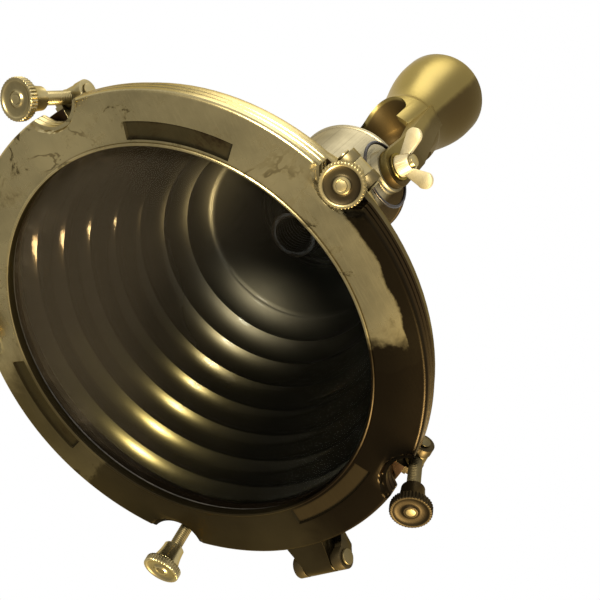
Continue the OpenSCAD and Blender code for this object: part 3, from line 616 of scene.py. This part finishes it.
def dress_slotted(node, count, ring_r, first, body):
    """A ring of screws with slots in their heads."""
    bm = eased_copy(node, 0.0)
    slot_heads(bm, count, ring_r, math.radians(first))
    return add_piece(node + "_slotted", bm, body, ["bolt"], [node])


def dress(node, key):
    """Gives a CAD node its finish."""
    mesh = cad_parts[node].data
    mesh.materials.clear()
    mesh.materials.append(finish(key))


def dress_eased(node, key, ease, body):
    return add_piece(node + "_eased", eased_copy(node, ease), body, [key], [node])


class CARGO_OT_shade(bpy.types.Operator):
    """Spin the ribbed shade, dark inside and duller outside"""

    bl_idname = "cargo.shade"
    bl_label = "Ribbed shade"

    def execute(self, context):
        s = context.scene.lamp_sizes
        foot, seam, crown, collar, neck_r = 0.023, 0.169, 0.207, 0.216, 0.04605
        seam_in, seam_up, lip_w = 0.0015, 0.0006, 0.0105
        rib_rows, crown_rows = 15, 14

        def ridge(z):
            return s.mouth_r - (s.mouth_r - s.seam_r) * (z - foot) / (seam - foot)

        half = s.rib_pitch / 2
        round_r = (half * half + s.rib_depth * s.rib_depth) / (2 * s.rib_depth)

        def rib(z):
            off = (seam - z) % s.rib_pitch - half
            return ridge(z) + math.sqrt(round_r * round_r - off * off) - (round_r - s.rib_depth)

        count = int((seam - foot) / s.rib_pitch * rib_rows)
        heights = [seam - s.rib_pitch * i / rib_rows for i in range(count, -1, -1)]
        inner = [(rib(foot), foot)] + [(rib(z), z) for z in heights]
        inner += [(s.seam_r - seam_in * t, seam + seam_up * t) for t in (0.5, 1.0)]
        top = s.seam_r - seam_in
        for i in range(1, crown_rows + 1):
            t = i / crown_rows
            inner.append((neck_r + (top - neck_r) * (1 - 0.4 * math.sin(math.pi * t / 2) - 0.6 * t),
                          seam + seam_up + (crown - seam - seam_up) * t))
        lip = s.mouth_r + s.rib_depth + lip_w
        wall = s.shade_wall
        points = [(lip, foot)] + inner + [(neck_r, collar), (neck_r + wall, collar)]
        points += [(r + wall, z) for r, z in reversed(inner[1:])]
        points += [(rib(foot) + wall, foot + wall), (lip, foot + wall)]
        bm = lathe(points, 180)
        for face in bm.faces:
            centre = face.calc_center_median()
            outward = Vector((centre.x, centre.y, 0)).normalized().dot(face.normal)
            flat = abs(face.normal.z) > 0.95 and centre.z < lifted(foot + 0.004)
            face.material_index = 0 if outward < 0 and not flat else 1
        add_piece("ribbed_shade", bm, "lamp", ["shade_in", "shade_out"], ["shade"])
        return {"FINISHED"}


def scalloped(turn, s, blend=0.0012):
    """Outer radius of the bezel at a turn about the axis."""
    centre_r = SCALLOP_FLOOR_R + s.scallop_r
    best = s.bezel_r
    for bolt in BOLT_TURNS:
        off = turn_between(turn, bolt)
        side = centre_r * math.sin(off)
        if abs(off) < 0.5 and abs(side) < s.scallop_r:
            cut = centre_r * math.cos(off) - math.sqrt(s.scallop_r ** 2 - side ** 2)
            gap = max(0.0, 1 - abs(cut - best) / blend)
            best = min(cut, best) - blend * 0.25 * gap * gap
    return best


class CARGO_OT_bezel(bpy.types.Operator):
    """Spin the bezel, cut its scallops, sink its panels and add the hinge tab"""

    bl_idname = "cargo.bezel"
    bl_label = "Bezel ring"

    def execute(self, context):
        s = context.scene.lamp_sizes
        o, crown, rounding, groove = s.opening_r, s.bezel_crown, 0.0025, 0.0006
        edge = s.bezel_r - rounding
        back, flange_r, gasket_r, gasket_z, seat_z = s.bezel_depth, 0.147, 0.1394, 0.010, 0.002

        def face(r):
            t = (edge - r) / (edge - o)
            return -crown * t - 0.0005 * math.sin(math.pi * min(1.0, max(0.0, t)))

        bead = face(o)
        points = [(o, seat_z), (o, bead - 0.0002), (o + 0.0003, bead - 0.0009), (o + 0.0009, bead - 0.0012),
                  (o + 0.0015, bead - 0.0012), (o + 0.0021, bead - 0.0008), (o + 0.0024, face(o + 0.0024))]
        for step in (3.2, 3.8, 4.15, 8.0, 12.0, 14.85, 15.2, 16.2, 17.0, 18.0, 19.0, 20.0, 21.0, 22.0, 23.0,
                     24.0, 25.5, 27.0, 28.5, 30.0, 31.5):
            points.append((o + step * 0.001, face(o + step * 0.001)))
        points += [(edge + rounding * math.cos(a), rounding + rounding * math.sin(a))
                   for a in (math.radians(-75 + 15 * i) for i in range(6))]
        points += [(s.bezel_r, 0.0052), (s.bezel_r - groove, 0.0056), (s.bezel_r - groove, 0.0064),
                   (s.bezel_r, 0.0068), (s.bezel_r, 0.0096), (s.bezel_r - groove, 0.0100),
                   (s.bezel_r - groove, 0.0107), (s.bezel_r, 0.0111), (s.bezel_r, back - 0.0008),
                   (s.bezel_r - 0.0008, back), (flange_r + 0.0006, back), (flange_r, back - 0.0006),
                   (flange_r, gasket_z), (gasket_r, gasket_z), (gasket_r, seat_z)]
        bm = lathe(points, 900)
        panel_half = math.radians(14.5)
        panel_in, panel_out, panel_z = o + 0.004, o + 0.0150, 0.0015
        hold, relief_r, scallop_z = 0.1485, s.scallop_r + 0.0034, 0.002
        for v in bm.verts:
            r, turn = math.hypot(v.co.x, v.co.y), math.atan2(v.co.y, v.co.x)
            z = v.co.z + EYE_HEIGHT
            if r > hold:
                r = hold + (r - hold) * (scalloped(turn, s) - hold) / (s.bezel_r - hold)
            for bolt in BOLT_TURNS:
                off = turn_between(turn, bolt)
                away = math.hypot(r * math.cos(off) - SCALLOP_FLOOR_R - s.scallop_r, r * math.sin(off))
                if abs(off) < 0.4 and away < relief_r and z < scallop_z:
                    share = min(1.0, max(0.0, (relief_r - away) / 0.0008))
                    z += (scallop_z - z) * share
            for panel in PANEL_TURNS:
                off = abs(turn_between(turn, panel))
                if off < panel_half and panel_in < r < panel_out and z < panel_z:
                    z += s.panel_depth
            if z < 0.013:
                sway = noise.noise(Vector((v.co.x, v.co.y, 0.3)) * 22.0)
                z += 0.00022 * sway * min(1.0, max(0.0, (0.010 - z) / 0.008))
            v.co = (r * math.cos(turn), r * math.sin(turn), lifted(z))
        bm.normal_update()
        for f in bm.faces:
            centre = f.calc_center_median()
            turn, r = math.atan2(centre.y, centre.x), math.hypot(centre.x, centre.y)
            near = any(abs(turn_between(turn, panel)) < panel_half for panel in PANEL_TURNS)
            within = panel_in - 0.0002 < r < panel_out + 0.0002 and centre.z < lifted(panel_z)
            f.material_index = 1 if near and within else 0
        self.add_tab(bm)
        add_piece("bezel_face", bm, "bezel", ["ring", "panel"], ["bezel_ring"])
        return {"FINISHED"}

    def add_tab(self, bm):
        """The tapered tab that turns on the hinge pin"""
        pin_y, pin_z, knuckle, root = -0.183, 0.009, 0.008, -0.157
        outline = [(root, 0.0005), (root, 0.0132)]
        outline += [(pin_y + knuckle * math.cos(a), pin_z + knuckle * math.sin(a))
                    for a in (math.radians(82 + 196 * i / 14) for i in range(15))]
        base = [bm.verts.new((-0.012, y, lifted(z))) for y, z in outline]
        flank = bm.faces.new(base)
        far = extruded(bm, [flank])
        bmesh.ops.translate(bm, vec=(0.024, 0, 0), verts=far)
        made = set(base) | set(far)
        for v in made:
            v.co.x *= 1 + 0.4 * min(1.0, max(0.0, (v.co.y + 0.169) / 0.010))
        faces = {f for v in made for f in v.link_faces}
        bmesh.ops.recalc_face_normals(bm, faces=list(faces))
        edges = {e for f in faces for e in f.edges if e.calc_face_angle(0) > math.radians(40)}
        round_edges(bm, list(edges), 0.0012, 3)


class CARGO_OT_glass(bpy.types.Operator):
    """Finish the glass and what seals and holds it"""

    bl_idname = "cargo.glass"
    bl_label = "Glass"

    def execute(self, context):
        dress("glass", "glass")
        dress("glass_gasket", "rubber")
        # Painted darker, like the inside of the shade
        dress("glass_retainer", "bronze")
        dress("retainer_screws", "bolt")
        return {"FINISHED"}


class CARGO_OT_flange(bpy.types.Operator):
    """Finish the body flange with its ears, its gasket, pins and screws"""

    bl_idname = "cargo.flange"
    bl_label = "Body flange"
    bore_r = 0.143

    def execute(self, context):
        ease = context.scene.lamp_sizes.edge_ease
        bm = eased_copy("body_flange", ease)
        # Painted shadow: the bore faces take the dark bronze finish
        for face in bm.faces:
            at = face.calc_center_median()
            face.material_index = 1 if math.hypot(at.x, at.y) < self.bore_r else 0
        add_piece("body_flange_eased", bm, "lamp", ["cast", "bronze"], ["body_flange"])
        dress("bezel_gasket", "rubber")
        dress_slotted("shade_screws", 10, 0.1471, 18, "lamp")
        dress_eased("hinge_pin", "bolt", ease, "lamp")
        dress_eased("bolt_pins", "bolt", ease * 0.6, "lamp")
        return {"FINISHED"}


class CARGO_OT_closing_gear(bpy.types.Operator):
    """Finish the swing bolts and knurled thumb nuts"""

    bl_idname = "cargo.closing_gear"
    bl_label = "Swing bolts and thumb nuts"
    lean = math.radians(18)
    pin_r, pin_z = 0.164, 0.0273
    rod_r, thread_low, thread_high = 0.0045, -0.0475, -0.0062
    nut_r, nut_z = 0.0134, -0.052

    def execute(self, context):
        for i in range(1, 6):
            place = (Matrix.Rotation(BOLT_TURNS[i - 1], 4, "Z")
                     @ Matrix.Translation((self.pin_r, 0, lifted(self.pin_z)))
                     @ Matrix.Rotation(-self.lean, 4, "Y"))
            bm = eased_copy(f"swing_bolt_{i}", 0.0005)
            slimmed(bm, place, self.rod_r, 0.0041, (self.thread_low, -0.004))
            add_piece(f"swing_bolt_{i}_eased", bm, f"bolt_{i}", ["bolt"], [f"swing_bolt_{i}"])
            sleeve = threaded_sleeve(self.rod_r, 0.0040, 0.0015, 0.00036, self.thread_low, self.thread_high,
                                     place)
            add_piece(f"bolt_thread_{i}", sleeve, f"bolt_{i}", ["bolt"])
            self.add_nut(i, place)
        return {"FINISHED"}

    def add_nut(self, i, place):
        """A knurled disc with a dished face on a trunk that narrows towards the bezel"""
        r, thick, trunk, bore, stud_r = self.nut_r, 0.006, 0.021, 0.00458, 0.00308
        face = [(stud_r, 0.0002), (0.0034, 0), (0.0044, 0.0001), (0.0050, 0.0006), (0.0056, 0.0011),
                (0.0066, 0.00125), (0.0082, 0.0012), (0.0096, 0.0010), (0.0107, 0.0005), (0.0111, 0.0001),
                (0.0115, 0)]
        rim = [(r - 0.0008, 0), (r - 0.0003, 0.0002), (r, 0.0008)]
        rim += [(r, 0.0008 + 0.0044 * k / 6) for k in range(1, 7)]
        rim += [(r - 0.0003, 0.0058), (r - 0.0008, thick)]
        neck = [(0.0075 + 0.0029 * (1 - t) ** 2, thick + (trunk - thick) * t)
                for t in (k / 10 for k in range(11))]
        back = [(neck[-1][0] - 0.0006, trunk), (bore, trunk), (bore, 0.0037), (stud_r, 0.0037)]

        def knurl(at, z, turn):
            if at < r - 0.00045 or z > thick:
                return 0.0
            return -0.0006 * abs(math.sin(20 * turn)) ** 1.5

        bm = lathe(face + rim + neck[:-1] + [(neck[-1][0], trunk - 0.0006)] + back, 320,
                   place @ Matrix.Translation((0, 0, self.nut_z)), knurl)
        inward = place.to_3x3() @ Vector((0, 0, 1))
        middle = place @ Vector((0, 0, self.nut_z))
        for f in bm.faces:
            off = f.calc_center_median() - middle
            depth = off.dot(inward)
            across = (off - inward * depth).length
            f.material_index = 1 if depth < 0.002 and 0.0047 < across < 0.0108 else 0
        add_piece(f"thumb_nut_{i}_turned", bm, f"nut_{i}", ["nut", "dish"],
                  [f"thumb_nut_{i}"])


class CARGO_OT_neck(bpy.types.Operator):
    """Finish the neck housing, its lid and the cable gland"""

    bl_idname = "cargo.neck"
    bl_label = "Neck and gland"
    inner_r = 0.0438
    crown_z = 0.2075
    gland_r = 0.0125

    def execute(self, context):
        ease = context.scene.lamp_sizes.edge_ease
        bm = eased_copy("neck_housing", ease)
        for face in bm.faces:
            centre = face.calc_center_median()
            inside = math.hypot(centre.x, centre.y) < self.inner_r
            face.material_index = 1 if inside or centre.z < lifted(self.crown_z) else 0
        add_piece("neck_housing_eased", bm, "lamp", ["neck", "soot"], ["neck_housing"])
        dress_eased("neck_lid", "neck", ease, "lamp")
        axis = Matrix.Translation((0, 0, -EYE_HEIGHT))
        bm = eased_copy("gland_body", ease)
        slimmed(bm, axis, self.gland_r, 0.0119, (0.289, 0.3173))
        add_piece("gland_body_eased", bm, "lamp", ["bright"], ["gland_body"])
        sleeve = threaded_sleeve(self.gland_r, 0.0117, 0.0018, 0.0005, 0.2898, 0.3170, axis)
        add_piece("gland_thread", sleeve, "lamp", ["bright"])
        dress_eased("gland_nut", "bright", ease, "lamp")
        dress("gland_seal", "rubber")
        dress_slotted("lid_screws", 3, 0.0385, 60, "lamp")
        return {"FINISHED"}


class CARGO_OT_pivot(bpy.types.Operator):
    """Finish the pivot bolts, washers, wing nuts and the loose wire ring"""

    bl_idname = "cargo.pivot"
    bl_label = "Pivot"

    def execute(self, context):
        dress_eased("pivot_bolts", "bolt", 0.0005, "lamp")
        dress_eased("pivot_washers", "bright", 0.0003, "lamp")
        for side in ("left", "right"):
            dress_eased(f"wing_nut_{side}", "wing", 0.0009, f"wing_{side}")
        dress_eased("wire_ring", "wire", 0.0, "ring")
        return {"FINISHED"}


class CARGO_OT_hanger(bpy.types.Operator):
    """Finish the yoke with its bell and the hanging eye"""

    bl_idname = "cargo.hanger"
    bl_label = "Hanger"

    def execute(self, context):
        dress_eased("yoke", "hanger", 0.0012, "hanger")
        dress_eased("hanging_eye", "bright", 0.0010, "hanger")
        return {"FINISHED"}


class CARGO_OT_holder(bpy.types.Operator):
    """Finish the lamp holder and roll the thread of its screw shell"""

    bl_idname = "cargo.holder"
    bl_label = "Lamp holder"

    def execute(self, context):
        mouth, length, pitch, roll = 0.167, 0.032, 0.0036, 0.00032
        inner_r, outer_r, rows = 0.01348, 0.0138, 60
        rise = [mouth + length * i / rows for i in range(rows + 1)]
        points = [(inner_r, z) for z in rise] + [(outer_r, z) for z in reversed(rise)]

        def rolled(r, z, turn):
            return roll * math.cos(math.tau * z / pitch + turn)

        shell = lathe(points, 72, None, rolled)
        add_piece("screw_shell", shell, "lamp", ["soot"], ["holder_shell"])
        dress_eased("holder_body", "porcelain", 0.0008, "lamp")
        dress("holder_contact", "bolt")
        dress("holder_plate", "soot")
        dress("holder_screws", "bolt")
        dress("terminal_blocks", "bright")
        return {"FINISHED"}


class CARGO_OT_stage(bpy.types.Operator):
    """Set the pale floor, the soft lamps, the white surroundings and the camera"""

    bl_idname = "cargo.stage"
    bl_label = "Stage"

    def execute(self, context):
        scene = context.scene
        bm = bmesh.new()
        bmesh.ops.create_grid(bm, x_segments=4, y_segments=4, size=14.0,
                              matrix=Matrix.Translation((0, 0, -2.2)))
        mesh = bpy.data.meshes.new("floor")
        bm.to_mesh(mesh)
        bm.free()
        floor = bpy.data.objects.new("floor", mesh)
        scene.collection.objects.link(floor)
        mesh.materials.append(finish("floor"))
        self.add_lamp("lamp_below", (-0.18, -1.27, lifted(-0.94)), (0.20, 0.75), 105.0,
                      (1.0, 0.80, 0.45))
        self.add_lamp("lamp_behind_camera", (-0.85, 0.92, lifted(-1.06)), (0.29, 0.29), 64.0,
                      (1.0, 0.92, 0.74))
        self.add_lamp("lamp_above", (-0.6, 1.4, 1.2), (1.4, 1.4), 16.0, (1.0, 1.0, 1.0))
        self.add_surroundings(scene)
        self.add_camera(scene)
        scene.view_settings.view_transform = "Standard"
        return {"FINISHED"}

    def add_lamp(self, name, place, size, power, colour):
        data = bpy.data.lights.new(name, "AREA")
        data.shape, data.energy, data.color = "ELLIPSE", power, colour
        data.size, data.size_y = size
        data.cycles.max_bounces = 0
        lamp = bpy.data.objects.new(name, data)
        lamp.location = place
        lamp.rotation_euler = (Vector((0, 0, -0.4)) - Vector(place)).to_track_quat("-Z", "Y").to_euler()
        bpy.context.scene.collection.objects.link(lamp)

    def add_surroundings(self, scene):
        world = bpy.data.worlds.new("white_room")
        scene.world = world
        world.use_nodes = True
        tree = world.node_tree
        tree.nodes.clear()
        path = tree.nodes.new("ShaderNodeLightPath")
        seen = None
        for ray in ("Is Camera Ray", "Is Glossy Ray", "Is Transmission Ray"):
            if seen is None:
                seen = path.outputs[ray]
                continue
            either = tree.nodes.new("ShaderNodeMath")
            either.operation = "MAXIMUM"
            tree.links.new(seen, either.inputs[0])
            tree.links.new(path.outputs[ray], either.inputs[1])
            seen = either.outputs[0]
        shown, fill = (tree.nodes.new("ShaderNodeBackground") for _ in range(2))
        shown.inputs["Color"].default_value = (1.0, 1.0, 1.0, 1.0)
        fill.inputs["Color"].default_value = (1.0, 0.98, 0.95, 1.0)
        fill.inputs["Strength"].default_value = 0.55
        mixed, out = tree.nodes.new("ShaderNodeMixShader"), tree.nodes.new("ShaderNodeOutputWorld")
        tree.links.new(seen, mixed.inputs[0])
        tree.links.new(fill.outputs[0], mixed.inputs[1])
        tree.links.new(shown.outputs[0], mixed.inputs[2])
        tree.links.new(mixed.outputs[0], out.inputs[0])

    def add_camera(self, scene):
        data = bpy.data.cameras.new("camera")
        data.sensor_width, data.lens = 36.0, 78.0
        data.clip_start, data.clip_end = 0.05, 60.0
        camera = bpy.data.objects.new("camera", data)
        right, down = Vector((-0.7753, -0.4727, 0.4189)), Vector((0.2838, -0.8532, -0.4376))
        forward = right.cross(down).normalized()
        turn = Matrix((right.normalized(), -down.normalized(), -forward)).transposed()
        camera.matrix_world = Matrix.Translation((-0.5334, 0.1686, lifted(-0.6184))) @ turn.to_4x4()
        scene.collection.objects.link(camera)
        scene.camera = camera


class CARGO_PT_panel(bpy.types.Panel):
    """Lists the sizes, colours and steps"""

    bl_label = "Cargo light"
    bl_idname = "CARGO_PT_panel"
    bl_space_type = "VIEW_3D"
    bl_region_type = "UI"
    bl_category = "Cargo light"

    def draw(self, context):
        for group in (context.scene.lamp_sizes, context.scene.lamp_colours):
            box = self.layout.box()
            for key in group.__annotations__:
                box.prop(group, key)
        for step in STEPS:
            self.layout.operator(step.bl_idname)


STEPS = (CARGO_OT_shade, CARGO_OT_bezel, CARGO_OT_glass, CARGO_OT_flange, CARGO_OT_closing_gear,
         CARGO_OT_neck, CARGO_OT_pivot, CARGO_OT_hanger, CARGO_OT_holder, CARGO_OT_stage)
CLASSES = (LampSizes, LampColours, *STEPS, CARGO_PT_panel)


def register():
    for cls in CLASSES:
        bpy.utils.register_class(cls)
    bpy.types.Scene.lamp_sizes = bpy.props.PointerProperty(type=LampSizes)
    bpy.types.Scene.lamp_colours = bpy.props.PointerProperty(type=LampColours)


def unregister():
    del bpy.types.Scene.lamp_colours
    del bpy.types.Scene.lamp_sizes
    for cls in reversed(CLASSES):
        bpy.utils.unregister_class(cls)


def main():
    register()
    bpy.ops.cargo.shade()
    bpy.ops.cargo.bezel()
    bpy.ops.cargo.glass()
    bpy.ops.cargo.flange()
    bpy.ops.cargo.closing_gear()
    bpy.ops.cargo.neck()
    bpy.ops.cargo.pivot()
    bpy.ops.cargo.hanger()
    bpy.ops.cargo.holder()
    bpy.ops.cargo.stage()
    bpy.context.view_layer.update()


if __name__ == "__main__":
    main()
